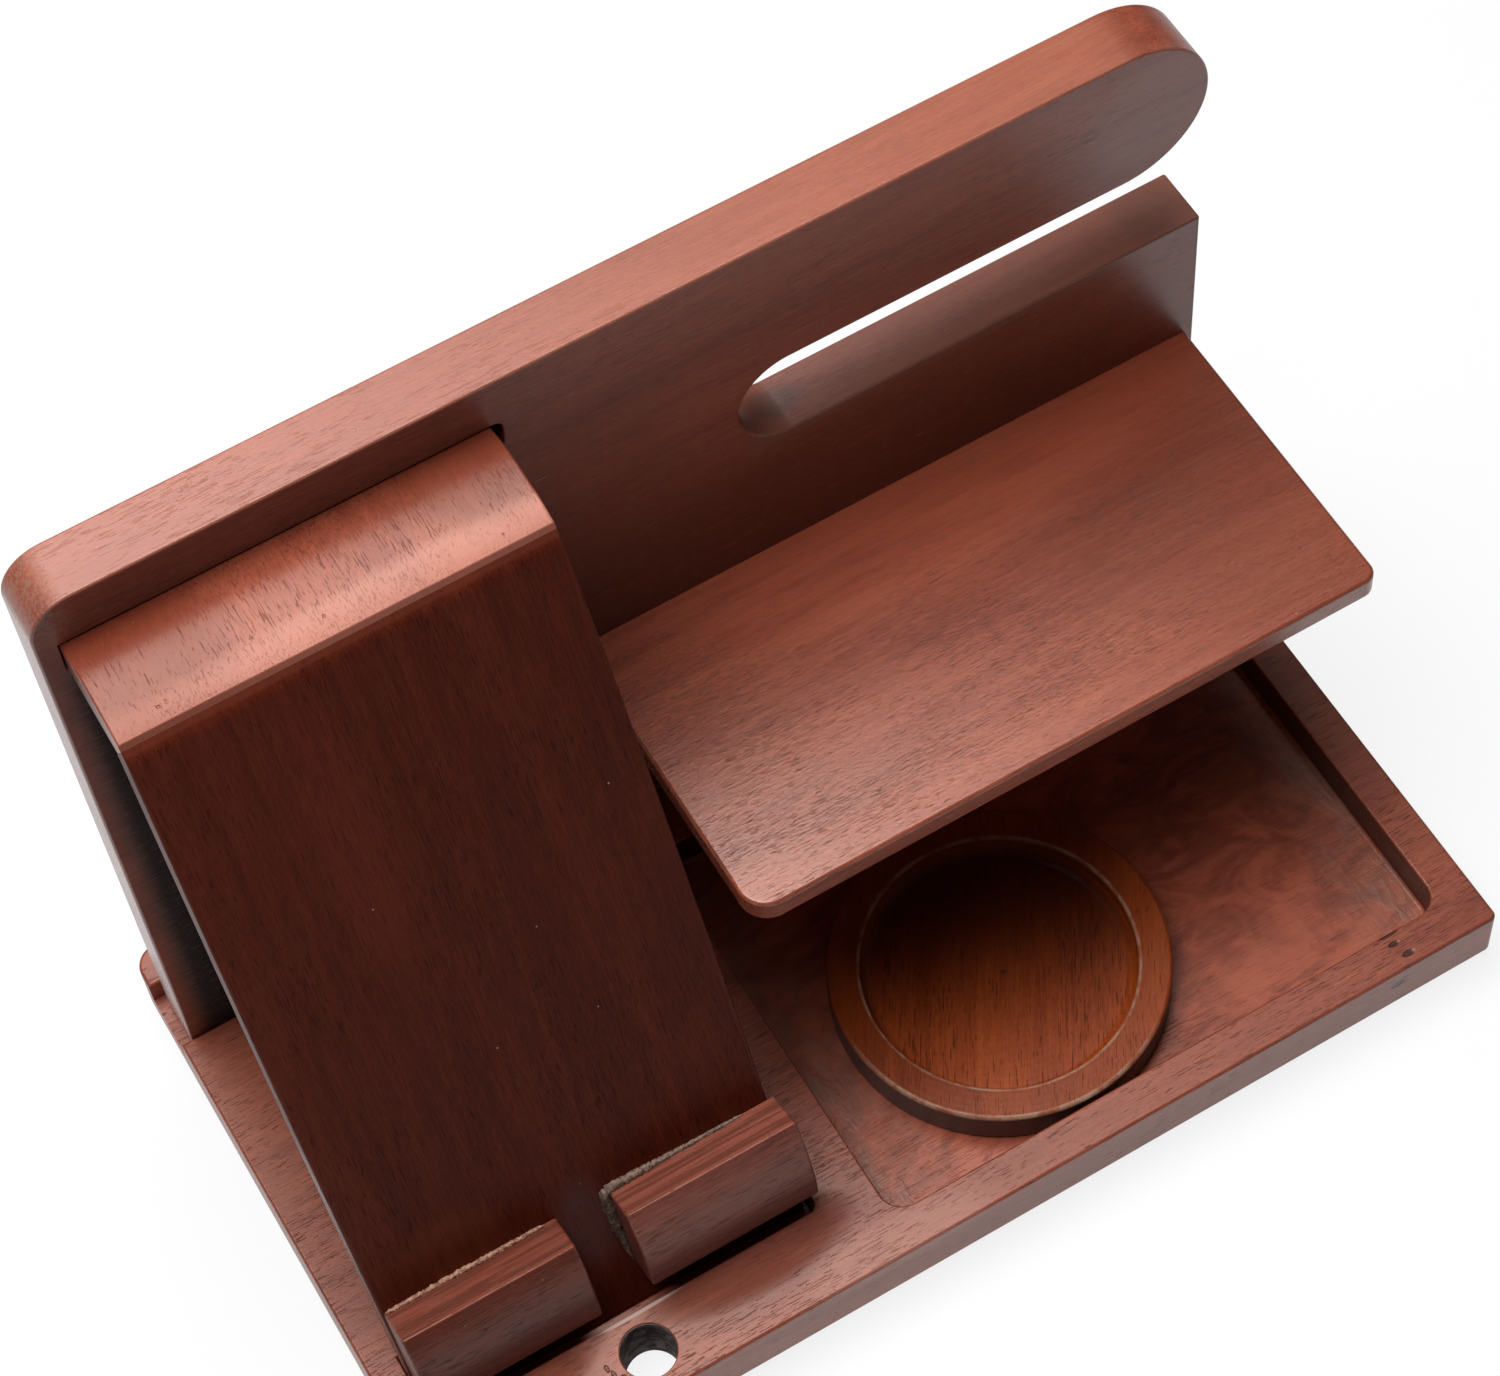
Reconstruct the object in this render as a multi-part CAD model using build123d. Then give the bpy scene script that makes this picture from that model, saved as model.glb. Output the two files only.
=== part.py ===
from build123d import *
import math
import os

# Wooden bedside valet stand: a base with a coin tray, an upright panel with a
# watch arm, a sloping phone rest with two lips, a small shelf and a loose dish.
# Millimetres. X runs along the panel, +Y goes to the back, +Z is up.
# The origin is under the middle of the base, on the surface that it stands on.

# ---- foot pads
pad_diameter = 12.0
pad_thickness = 1.5
pad_inset = 14.0

# ---- base board
base_length = 240.0
base_front = 115.0
base_back = 23.5
base_thickness = 14.5
base_back_corner = 5.0
base_front_corner = 1.6
base_underside_ease = 1.4
edge_ease = 0.6

# ---- coin tray milled into the base
tray_rest_gap = 12.7
tray_right_margin = 8.2
tray_front_margin = 8.4
tray_back_margin = 13.0
tray_depth = 9.6
tray_corner = 5.0
tray_edge_ease = 0.4

# ---- cable hole
hole_diameter = 11.2
hole_from_left = 48.5
hole_from_front = 8.9

# ---- upright panel
panel_left = 2.3
panel_right_margin = 0.4
panel_thickness = 12.5
panel_height = 162.0
panel_corner = 9.0
panel_groove_depth = 6.0
panel_groove_gap = 2.6

# ---- watch arm: the half-round top of the panel over an open slot
arm_height = 36.0
slot_height = 22.4
slot_left = 138.0

# ---- phone rest: a sloping board under a crowned cap
rest_left = 6.7
rest_width = 83.6
rest_thickness = 7.5
rest_lean = 23.8
rest_foot_reach = 90.4
rest_side_bow = 0.6
rest_foot_depth = 7.5
cap_height = 149.6
cap_thickness = 7.5
cap_crown = 1.9
ridge_bevel = 3.0
cap_tongue = 6.0

# ---- clearances of the knock-down joints
slot_front_clearance = 4.1
slot_left_clearance = 0.3
slot_right_clearance = 1.0
slot_rear_clearance = 0.4
slot_corner = 2.0
slot_floor_clearance = 0.5
fit_clearance = 0.1
mortise_left_gap = 0.2
mortise_right_gap = 2.1
mortise_top_gap = 0.4
mortise_corner = 2.0

# ---- lips that hold the phone
lip_length = 37.2
lip_gap = 11.0
lip_start = 0.2
lip_top = 22.5
lip_bottom = 2.1
lip_top_depth = 9.3
lip_bottom_depth = 8.3
lip_crown = 1.4
lip_end_ease = 0.5

# ---- shelf
shelf_rest_gap = 8.3
shelf_right_margin = 2.3
shelf_reach = 67.8
shelf_thickness = 6.0
shelf_top = 67.4
shelf_left_corner = 6.0
shelf_right_corner = 3.0
shelf_ease = 0.9
tenon_shoulder = 12.0

# ---- loose dish
dish_diameter = 69.8
dish_height = 8.8
dish_left_gap = 11.9
dish_front_gap = 1.3
dish_recess_diameter = 56.2
dish_recess_depth = 5.0
dish_cove = 2.5
dish_rim_ease = 0.6
dish_foot_chamfer = 0.8

# ---- places worked out from the sizes above
left = -base_length / 2
right = base_length / 2
panel_face = (base_front - base_back) / 2
base_floor = pad_thickness
base_top = base_floor + base_thickness
panel_x0 = left + panel_left
panel_x1 = right - panel_right_margin
panel_top = base_top + panel_height
panel_foot = base_top - panel_groove_depth
groove_width = panel_thickness + panel_groove_gap
slope = math.tan(math.radians(rest_lean))
lean_cos = math.cos(math.radians(rest_lean))
lean_sin = math.sin(math.radians(rest_lean))
rest_x0 = left + rest_left
rest_x1 = rest_x0 + rest_width
shelf_x0 = rest_x1 + shelf_rest_gap
shelf_x1 = right - shelf_right_margin
tray_x0 = rest_x1 + tray_rest_gap
tray_y0 = panel_face - base_front + tray_front_margin
tenon_x0 = shelf_x0 + tenon_shoulder
tenon_x1 = shelf_x1 - tenon_shoulder


def block(x0, x1, y0, y1, z0, z1):
    """A box between two opposite corners."""
    solid = Box(x1 - x0, y1 - y0, z1 - z0, align=(Align.MIN, Align.MIN, Align.MIN))
    return Pos(x0, y0, z0) * solid


def rounded_block(x0, x1, y0, y1, z0, z1, corner):
    """A box whose four upright edges are rounded."""
    outline = RectangleRounded(x1 - x0, y1 - y0, corner)
    return extrude(Pos((x0 + x1) / 2, (y0 + y1) / 2, z0) * outline, z1 - z0)


def rest_front(z):
    """Y of the sloping board's front face at a height above the base's top."""
    return panel_face - rest_foot_reach + slope * z


def rest_rear(z):
    """Y of the sloping board's rear face at a height above the base's top."""
    return rest_front(z) + rest_thickness / lean_cos


def cable_hole():
    """The through hole in front of the phone rest."""
    x = left + hole_from_left
    y = panel_face - base_front + hole_from_front
    drill = Cylinder(hole_diameter / 2, base_thickness, align=(Align.CENTER, Align.CENTER, Align.MIN))
    return Pos(x, y, base_floor) * drill


def tray_pocket():
    """The milled tray: a flat floor and upright walls with rounded corners."""
    x1 = right - tray_right_margin
    y1 = panel_face - tray_back_margin
    return rounded_block(tray_x0, x1, tray_y0, y1, base_top - tray_depth, base_top, tray_corner)


def open_ended(width, height, corner):
    """A rectangle, square at its left end and with rounded corners at its right."""
    outline = Rectangle(width, height)
    return fillet(outline.vertices().sort_by(Axis.X)[-2:], corner)


def foot_slot():
    """The slot that takes the foot of the phone rest, round-cornered at its right."""
    y0 = rest_front(-rest_foot_depth) - slot_front_clearance
    y1 = rest_rear(0) + slot_rear_clearance
    z0 = base_top - rest_foot_depth - slot_floor_clearance
    x0 = rest_x0 - slot_left_clearance
    x1 = rest_x1 + slot_right_clearance
    outline = Pos((x0 + x1) / 2, (y0 + y1) / 2, z0) * open_ended(x1 - x0, y1 - y0, slot_corner)
    return extrude(outline, base_top - z0)


def panel_groove():
    """The groove across the base that takes the panel's foot, wider at the back."""
    y0 = panel_face - fit_clearance
    return block(left, right, y0, y0 + groove_width, panel_foot, base_top)


def base_blank():
    """The board before milling: eased all round, with larger rear corners."""
    y0 = panel_face - base_front
    y1 = panel_face + base_back
    board = block(left, right, y0, y1, base_floor, base_top)
    uprights = board.edges().filter_by(Axis.Z).sort_by(Axis.Y)
    board = fillet(uprights[2:], base_back_corner)
    uprights = board.edges().filter_by(Axis.Z).sort_by(Axis.Y)
    board = fillet(uprights[:2], base_front_corner)
    board = chamfer(board.faces().sort_by(Axis.Z)[-1].edges(), edge_ease)
    return chamfer(board.faces().sort_by(Axis.Z)[0].edges(), base_underside_ease)


def make_base_board():
    """Base board with its tray, cable hole, foot slot and panel groove."""
    pocket = tray_pocket()
    board = base_blank() - pocket
    rim = board.edges().filter_by(lambda e: abs(e.center().Z - base_top) < 0.01)
    centre = pocket.center()
    size = pocket.bounding_box().size
    inner = [e for e in rim if abs(e.center().X - centre.X) < size.X / 2 + tray_edge_ease
             and abs(e.center().Y - centre.Y) < size.Y / 2 + tray_edge_ease]
    board = chamfer(inner, tray_edge_ease)
    return board - cable_hole() - foot_slot() - panel_groove()


def panel_outline():
    """Outline of the panel: one rounded corner, an open slot and a half-round arm."""
    arm_radius = arm_height / 2
    arm_bottom = panel_top - arm_height
    slot_radius = slot_height / 2
    slot_bottom = arm_bottom - slot_height
    slot_x = left + slot_left + slot_radius
    arm_x = panel_x1 - arm_radius
    with BuildSketch(Plane.XZ.offset(-panel_face)) as outline:
        with BuildLine():
            Line((panel_x0, panel_foot), (panel_x1, panel_foot))
            Line((panel_x1, panel_foot), (panel_x1, slot_bottom))
            Line((panel_x1, slot_bottom), (slot_x, slot_bottom))
            ThreePointArc((slot_x, slot_bottom), (slot_x - slot_radius, slot_bottom + slot_radius),
                          (slot_x, arm_bottom))
            Line((slot_x, arm_bottom), (arm_x, arm_bottom))
            ThreePointArc((arm_x, arm_bottom), (panel_x1, panel_top - arm_radius), (arm_x, panel_top))
            Line((arm_x, panel_top), (panel_x0 + panel_corner, panel_top))
            RadiusArc((panel_x0 + panel_corner, panel_top), (panel_x0, panel_top - panel_corner),
                      -panel_corner)
            Line((panel_x0, panel_top - panel_corner), (panel_x0, panel_foot))
        make_face()
    return outline.sketch


def cap_mortise():
    """The mortise in the panel's face that takes the cap's tongue, longer at its right."""
    x0 = rest_x0 - mortise_left_gap
    x1 = rest_x1 + mortise_right_gap
    z0 = base_top + cap_height - cap_thickness - fit_clearance
    z1 = base_top + cap_height + mortise_top_gap
    outline = Plane.XZ.offset(-panel_face) * Pos((x0 + x1) / 2, (z0 + z1) / 2) \
        * open_ended(x1 - x0, z1 - z0, mortise_corner)
    return extrude(outline, -(cap_tongue + slot_floor_clearance))


def shelf_tenon(clearance, length):
    """The shelf's tenon, which passes through the panel; with clearance, its mortise."""
    x0 = tenon_x0 - clearance
    x1 = tenon_x1 + clearance
    height = shelf_thickness + 2 * clearance
    centre_z = base_top + shelf_top - shelf_thickness / 2
    outline = Plane.XZ.offset(-panel_face) * Pos((x0 + x1) / 2, centre_z) \
        * SlotOverall(x1 - x0, height)
    return extrude(outline, -length)


def make_back_panel():
    """Upright panel with the watch arm, the cap's mortise and the shelf's mortise."""
    panel = extrude(panel_outline(), -panel_thickness)
    faces = panel.faces().sort_by(Axis.Y)
    panel = chamfer(faces[0].edges() + faces[-1].edges(), edge_ease)
    return panel - cap_mortise() - shelf_tenon(fit_clearance, panel_thickness)


def ridge_corner():
    """Where the board's front face and the cap's top would meet, as (Y, Z)."""
    return rest_front(cap_height), base_top + cap_height


def ridge_inner():
    """Where the board's rear face meets the cap's underside, as (Y, Z)."""
    height = cap_height - cap_thickness
    return rest_rear(height), base_top + height


def bevel_low():
    """Lower end of the ridge's bevel, on the board's front face, as (Y, Z)."""
    y, z = ridge_corner()
    return y - lean_sin * ridge_bevel, z - lean_cos * ridge_bevel


def bevel_high():
    """Upper end of the ridge's bevel, at the front of the cap, as (Y, Z)."""
    y, z = ridge_corner()
    return y + ridge_bevel / 2, z


def mitre_point():
    """Where the mitre line from the inner corner crosses the ridge's bevel."""
    corner, inner, low, high = ridge_corner(), ridge_inner(), bevel_low(), bevel_high()
    ax, az = high[0] - low[0], high[1] - low[1]
    bx, bz = corner[0] - inner[0], corner[1] - inner[1]
    cross = ax * bz - az * bx
    share = ((inner[0] - low[0]) * bz - (inner[1] - low[1]) * bx) / cross
    return low[0] + share * ax, low[1] + share * az


def rest_profile(points):
    """A face in the YZ plane through the given corners."""
    with BuildSketch(Plane.YZ.offset(rest_x0)) as profile:
        with BuildLine():
            Polyline(*points, close=True)
        make_face()
    return profile.sketch


def bowed_sides():
    """The space between the board's slightly bowed sides, for trimming it."""
    middle = (rest_x0 + rest_x1) / 2
    half = rest_width / 2
    depth = base_top + cap_height
    with BuildSketch(Plane.XZ.offset(-panel_face)) as outline:
        with BuildLine():
            Line((middle - half, 0), (middle + half, 0))
            ThreePointArc((middle + half, 0), (middle + half + rest_side_bow, depth / 2),
                          (middle + half, depth))
            Line((middle + half, depth), (middle - half, depth))
            ThreePointArc((middle - half, depth), (middle - half - rest_side_bow, depth / 2),
                          (middle - half, 0))
        make_face()
    return extrude(outline.sketch, base_front)


def make_rest_board():
    """Sloping board of the phone rest, with its foot cut level and its ridge mitred."""
    foot = base_top - rest_foot_depth
    points = [(rest_front(-rest_foot_depth), foot), bevel_low(), mitre_point(), ridge_inner(),
              (rest_rear(-rest_foot_depth), foot)]
    wide = extrude(rest_profile(points), rest_width + rest_side_bow)
    wide = wide + extrude(rest_profile(points), -rest_side_bow)
    board = wide & bowed_sides()
    face = board.faces().sort_by(Axis.Y)[0]
    sides = [e for e in face.edges() if abs(e.center().X - (rest_x0 + rest_x1) / 2) > rest_width / 4]
    return chamfer(sides, edge_ease)


def make_rest_cap():
    """Crowned cap of the phone rest, mitred to the board, with a tongue for the panel."""
    inner, high = ridge_inner(), bevel_high()
    tongue_y = panel_face + cap_tongue
    crown = ((high[0] + panel_face) / 2, high[1] + cap_crown)
    with BuildSketch(Plane.YZ.offset(rest_x0)) as profile:
        with BuildLine():
            Line(mitre_point(), high)
            ThreePointArc(high, crown, (panel_face, high[1]))
            Line((panel_face, high[1]), (tongue_y, high[1]))
            Line((tongue_y, high[1]), (tongue_y, inner[1]))
            Line((tongue_y, inner[1]), inner)
            Line(inner, mitre_point())
        make_face()
    return extrude(profile.sketch, rest_width)


def lip_point(along, out):
    """A point up the sloping face by `along` and off it by `out`, as (Y, Z)."""
    y = rest_front(0) + along * lean_sin - out * lean_cos
    return y, base_top + along * lean_cos + out * lean_sin


def make_lip(x0):
    """A bull-nosed lip glued square to the sloping board's face."""
    middle = (lip_bottom + lip_top) / 2
    nose = (lip_bottom_depth + lip_top_depth) / 2 + lip_crown
    with BuildSketch(Plane.YZ.offset(x0)) as profile:
        with BuildLine():
            Line(lip_point(lip_bottom, 0), lip_point(lip_bottom, lip_bottom_depth))
            ThreePointArc(lip_point(lip_bottom, lip_bottom_depth), lip_point(middle, nose),
                          lip_point(lip_top, lip_top_depth))
            Line(lip_point(lip_top, lip_top_depth), lip_point(lip_top, 0))
            Line(lip_point(lip_top, 0), lip_point(lip_bottom, 0))
        make_face()
    lip = extrude(profile.sketch, lip_length)
    crown = lip.faces().filter_by(GeomType.CYLINDER)[0]
    ends = [e for e in crown.edges() if e.geom_type == GeomType.CIRCLE]
    return chamfer(ends, lip_end_ease)


def make_shelf():
    """Small shelf with rounded front corners and a tenon through the panel."""
    z0 = base_top + shelf_top - shelf_thickness
    board = block(shelf_x0, shelf_x1, panel_face - shelf_reach, panel_face, z0, base_top + shelf_top)
    front = board.edges().filter_by(Axis.Z).sort_by(Axis.Y)[:2].sort_by(Axis.X)
    board = fillet(front[0], shelf_left_corner)
    front = board.edges().filter_by(Axis.Z).sort_by(Axis.X)[-2:].sort_by(Axis.Y)
    board = fillet(front[0], shelf_right_corner)
    faces = board.faces().sort_by(Axis.Z)
    outer = [e for e in faces[0].edges() + faces[-1].edges() if e.center().Y < panel_face - edge_ease]
    return fillet(outer, shelf_ease) + shelf_tenon(0, panel_thickness)


def make_dish():
    """Turned dish with a coved recess, an eased rim and a chamfered foot."""
    radius = dish_diameter / 2
    recess = dish_recess_diameter / 2
    floor = dish_height - dish_recess_depth
    with BuildSketch(Plane.XZ) as profile:
        with BuildLine():
            Polyline((0, 0), (radius - dish_foot_chamfer, 0), (radius, dish_foot_chamfer),
                     (radius, dish_height - dish_rim_ease), (radius - dish_rim_ease, dish_height),
                     (recess, dish_height), (recess, floor + dish_cove))
            RadiusArc((recess, floor + dish_cove), (recess - dish_cove, floor), dish_cove)
            Polyline((recess - dish_cove, floor), (0, floor), (0, 0))
        make_face()
    x = tray_x0 + dish_left_gap + radius
    y = tray_y0 + dish_front_gap + radius
    return Pos(x, y, base_top - tray_depth) * revolve(profile.sketch, Axis.Z)


def make_foot_pads():
    """Four round pads under the corners of the base."""
    y0 = panel_face - base_front + pad_inset
    y1 = panel_face + base_back - pad_inset
    pads = []
    for x in (left + pad_inset, right - pad_inset):
        for y in (y0, y1):
            pad = Cylinder(pad_diameter / 2, pad_thickness, align=(Align.CENTER, Align.CENTER, Align.MIN))
            pads.append(Pos(x, y, 0) * pad)
    return Compound(children=pads)


lip_x0 = rest_x0 + lip_start
lip_x1 = lip_x0 + lip_length + lip_gap

nodes = {
    "base_board": make_base_board(),
    "back_panel": make_back_panel(),
    "rest_board": make_rest_board(),
    "rest_cap": make_rest_cap(),
    "left_lip": make_lip(lip_x0),
    "right_lip": make_lip(lip_x1),
    "watch_shelf": make_shelf(),
    "coin_dish": make_dish(),
    "foot_pads": make_foot_pads(),
}

os.makedirs("parts", exist_ok=True)
for name, shape in nodes.items():
    export_step(shape, f"parts/{name}.step")
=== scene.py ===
import math

import bpy
import numpy as np
from mathutils import Matrix, Vector
from mathutils.geometry import tessellate_polygon


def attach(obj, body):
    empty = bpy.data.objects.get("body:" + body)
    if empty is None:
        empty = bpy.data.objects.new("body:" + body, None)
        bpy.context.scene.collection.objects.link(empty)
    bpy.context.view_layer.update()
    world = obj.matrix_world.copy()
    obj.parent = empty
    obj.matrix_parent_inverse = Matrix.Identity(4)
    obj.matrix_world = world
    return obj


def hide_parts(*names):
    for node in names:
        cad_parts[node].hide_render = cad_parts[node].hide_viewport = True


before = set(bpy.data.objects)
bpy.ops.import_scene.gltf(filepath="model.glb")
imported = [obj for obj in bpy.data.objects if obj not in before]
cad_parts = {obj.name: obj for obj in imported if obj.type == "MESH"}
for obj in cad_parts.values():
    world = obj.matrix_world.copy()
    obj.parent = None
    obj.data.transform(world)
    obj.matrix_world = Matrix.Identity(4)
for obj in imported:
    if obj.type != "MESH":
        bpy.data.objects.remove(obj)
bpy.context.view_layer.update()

# A dark-stained wooden valet stand. Shapes are worked out in millimetres, in
# the frame's own axes, and put into the meshes in metres.
MM = 0.001
QUARTER = math.pi / 2

# ---- the photograph's camera, in metres
CAMERA_PLACE = Vector((-0.16102, -0.33438, 0.74434))
CAMERA_RIGHT = Vector((0.86298, -0.50211, -0.05614))
CAMERA_UP = Vector((0.45819, 0.73095, 0.50575))
FOCAL_PIXELS = 4030.9
IMAGE_WIDTH = 1500
SENSOR = 36.0

# ---- how a drawing lies in the frame, as the directions of its u, v and height:
# ---- a board drawn lying on its back, and a bar drawn from the side
UPRIGHT_AXES = ((1, 0, 0), (0, 0, 1), (0, -1, 0))
SIDE_AXES = ((0, 1, 0), (0, 0, 1), (1, 0, 0))

# ---- base: underside (the pads' height) and top, sides, the groove's floor and
# ---- walls, the floors of tray and slot, the cable hole and the pads
PAD, TOP = 1.5, 16.0
LEFT, RIGHT = -120.0, 120.0
FRONT, BACK = -69.25, 69.25
FOOT = 10.0
GROOVE = (45.65, 60.75)
TRAY_FLOOR = TOP - 9.6
SLOT_FLOOR = TOP - 8.0
HOLE_CENTRE = (-71.5, -60.35)
HOLE_RADIUS = 5.6
PAD_RADIUS = 6.0
PAD_PLACE = (106.0, 55.25)

# ---- upright panel: its faces, its sides and top, and how high its arm and the
# ---- open gap under the arm are, with the X of the gap's round end
FACE, PANEL_BACK = 45.75, 58.25
PANEL_LEFT, PANEL_RIGHT, PANEL_TOP = -117.7, 119.6, 178.0
ARM_HEIGHT = 36.0
GAP_HEIGHT = 22.4
GAP_END = 18.0

# ---- phone rest: its lean, its front at the base's top, its sides and how far
# ---- they bow, its cap's height above the base's top, the bevel at the ridge
# ---- (down the slope, along the cap) and the cap's tongue
LEAN = math.radians(23.8)
REST_FRONT = -44.65
REST = (-113.3, -29.7)
REST_THICK = 7.5
BOW = 0.6
CAP_HEIGHT = 149.6
CAP_THICK = 7.5
BEVEL = (3.0, 1.5)
TONGUE = 6.0

# ---- lips: length, gap, left ends, and low and high edge up the slope
LIP_LENGTH = 37.2
LIP_GAP = 11.0
LIP_LEFT = REST[0] + 0.2
LIP_RIGHT = LIP_LEFT + LIP_LENGTH + LIP_GAP
LIP_LOW, LIP_HIGH = 2.1, 22.5

# ---- shelf: left and right side, front, top and thickness; and the dish's axis
SHELF = (-21.4, 117.7)
SHELF_FRONT = -22.05
SHELF_TOP = 83.4
SHELF_THICK = 6.0
DISH_CENTRE = (29.8, -24.65)

# ---- pockets as left, right, low and high edge: two seen from above, in Y,
# ---- and two seen from the front, in Z
TRAY = (-17.0, 111.8, -60.85, 32.75)
FOOT_SLOT = (-113.6, -28.7, -52.06, -36.05)
CAP_MORTISE = (-113.5, -27.6, 158.0, 166.0)
SHELF_MORTISE = (-9.5, 105.8, 77.3, 83.5)

# ---- colours of pits, scuffs, and of worn edges and painted highlights
BLACK = (0.012, 0.006, 0.005)
GREY = (0.19, 0.105, 0.080)
PALE = (0.42, 0.27, 0.19)

# ---- how far an arc's straight steps may stand off it, in millimetres
CURVE_ERROR = 0.004

# ---- strength of the surroundings, whiteness of the floor, and the distances
# ---- in metres between which its white fades out for glossy rays
WORLD_LEVEL = 0.05
FLOOR_WHITE = 0.85
FLOOR_NEAR, FLOOR_FAR = 0.22, 0.5
FLOOR_HALF = 3.0


# ------------------------------------------------------------------ outlines
def outline(corners):
    """Closed outline, counterclockwise, of straight runs joined by arcs.

    A corner is (u, v, radius, keep); left out, radius is 0 and keep is 1. An
    arc touches both runs of its corner: its centre is its first point less the
    run's normal times the radius, and its points are the centre plus the
    radius times (cos a, sin a), where a turns from one run's normal to the
    next one's. keep is how much the run after the corner is drawn in where
    edges are eased. Returns the points, the vectors along which they are drawn
    in, and the normals of the run before and after each point.
    """
    table = np.array([c + (0.0, 1.0)[len(c) - 2:] for c in corners], float)
    here = table[:, :2]
    step = np.roll(here, -1, 0) - here
    step /= np.linalg.norm(step, axis=1)[:, None]
    normal = np.stack([step[:, 1], -step[:, 0]], 1)
    points, before, after, keep = [], [], [], []
    for i, radius in enumerate(table[:, 2]):
        d1, d2, n1, n2 = step[i - 1], step[i], normal[i - 1], normal[i]
        turn = math.atan2(d1[0] * d2[1] - d1[1] * d2[0], d1 @ d2)
        side = 1.0 if turn > 0 else -1.0
        if radius > 0 and abs(turn) > 1e-4:
            count = max(3, math.ceil(abs(turn) / math.sqrt(8 * CURVE_ERROR / radius)))
            start = here[i] - d1 * radius * math.tan(abs(turn) / 2)
            centre = start - side * n1 * radius
            a = math.atan2(n1[1], n1[0]) + turn * np.linspace(0, 1, count + 1)
            n = np.stack([np.cos(a), np.sin(a)], 1)
            points.append(centre + side * radius * n)
            before.append(n)
            after.append(n)
            keep.append(np.tile([table[i - 1, 3], table[i, 3]], (count + 1, 1)))
        else:
            points.append(here[i][None])
            before.append(n1[None])
            after.append(n2[None])
            keep.append(np.array([[table[i - 1, 3], table[i, 3]]]))
    points, before, after, keep = map(np.concatenate, (points, before, after, keep))
    fresh = np.linalg.norm(points - np.roll(points, 1, 0), axis=1) > 1e-6
    points, before, after, keep = points[fresh], before[fresh], after[fresh], keep[fresh]
    cross = before[:, 0] * after[:, 1] - before[:, 1] * after[:, 0]
    smooth = np.abs(cross) < 1e-3
    safe = np.where(smooth, 1.0, cross)
    mitre_u = (keep[:, 0] * after[:, 1] - keep[:, 1] * before[:, 1]) / safe
    mitre_v = (keep[:, 1] * before[:, 0] - keep[:, 0] * after[:, 0]) / safe
    mitre = np.where(smooth[:, None], before * keep[:, :1], np.stack([mitre_u, mitre_v], 1))
    return points, mitre, before, after


def hollow(loop):
    """The same outline run the other way, as the edge of a hole or pocket."""
    points, mitre, before, after = loop
    return points[::-1], -mitre[::-1], -after[::-1], -before[::-1]


def drawn_in(loop, amount):
    """The outline drawn in by an amount, as the edge of a level face."""
    points, mitre, before, after = loop
    return points - mitre * amount, mitre, before, after


def box_corners(u0, u1, v0, v1, radius):
    """Four corners of a rectangle, all with one radius, counterclockwise."""
    return [(u0, v0, radius), (u1, v0, radius), (u1, v1, radius), (u0, v1, radius)]


def open_ended(u0, u1, v0, v1, radius):
    """Four corners of a rectangle, square at the left and rounded at the right."""
    return [(u0, v0), (u1, v0, radius), (u1, v1, radius), (u0, v1)]


def bulge(a, b, rise, spare=0.4):
    """The corner whose arc from a to b stands `rise` proud of the straight line."""
    a, b = np.array(a, float), np.array(b, float)
    run = b - a
    half = np.linalg.norm(run) / 2
    radius = (half ** 2 + rise ** 2) / (2 * rise)
    angle = math.asin(half / radius)
    out = np.array([run[1], -run[0]]) / (2 * half)
    apex = (a + b) / 2 + out * half * math.tan(angle)
    reach = half / math.cos(angle) - spare
    return float(apex[0]), float(apex[1]), reach / math.tan(angle)


# ------------------------------------------------------------------ profiles
def turn_over(radius, count=6):
    """Quarter circle from a wall to a top: (outwards, up, tilt) from its end."""
    a = np.linspace(0, math.pi / 2, count + 1)
    return np.stack([-radius * (1 - np.cos(a)), -radius * (1 - np.sin(a)), a], 1)


def wall(low, high, ease_low, ease_high):
    """Wall profile: each end turns over a quarter circle of its own radius."""
    rows = []
    if ease_low > 0:
        under = turn_over(ease_low)[::-1] * (1, -1, -1)
        rows.append(under + (0, low, 0))
    else:
        rows.append(np.array([[0, low, 0.0]]))
    if ease_high > 0:
        rows.append(turn_over(ease_high) + (0, high, 0))
    else:
        rows.append(np.array([[0, high, 0.0]]))
    return np.concatenate(rows)


def sunk_wall(floor, high, cove, ease_high):
    """Pocket wall profile: a cove at the floor, and an eased rim at the top."""
    a = np.linspace(math.pi / 2, 0, 9)
    foot = np.stack([cove * (1 - np.cos(a)), floor + cove * (1 - np.sin(a)), a], 1)
    return np.concatenate([foot, turn_over(ease_high) + (0, high, 0)])


# --------------------------------------------------------------- face patches
def rings(loop, profile):
    """Wall faces: ring k is the outline drawn in by profile k, at its height.

    A point is outline + mitre * outwards, at the profile's height, and its
    normal is the run's normal times cos tilt, with sin tilt along the height.
    """
    points, mitre, before, after = loop
    out, up, tilt = profile.T
    flat = points[None] + mitre[None] * out[:, None, None]
    place = np.concatenate([flat, np.broadcast_to(up[:, None, None], flat.shape[:2] + (1,))], 2)

    def normals(run):
        level = run[None] * np.cos(tilt)[:, None, None]
        rise = np.broadcast_to(np.sin(tilt)[:, None, None], level.shape[:2] + (1,))
        return np.concatenate([level, rise], 2)

    n_after, n_before = normals(after), normals(before)
    following = np.roll(place, -1, 1)
    next_normal = np.roll(n_before, -1, 1)
    corners = [place[:-1], following[:-1], following[1:], place[1:]]
    slants = [n_after[:-1], next_normal[:-1], next_normal[1:], n_after[1:]]
    return np.stack(corners, 2).reshape(-1, 4, 3), np.stack(slants, 2).reshape(-1, 4, 3)


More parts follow.
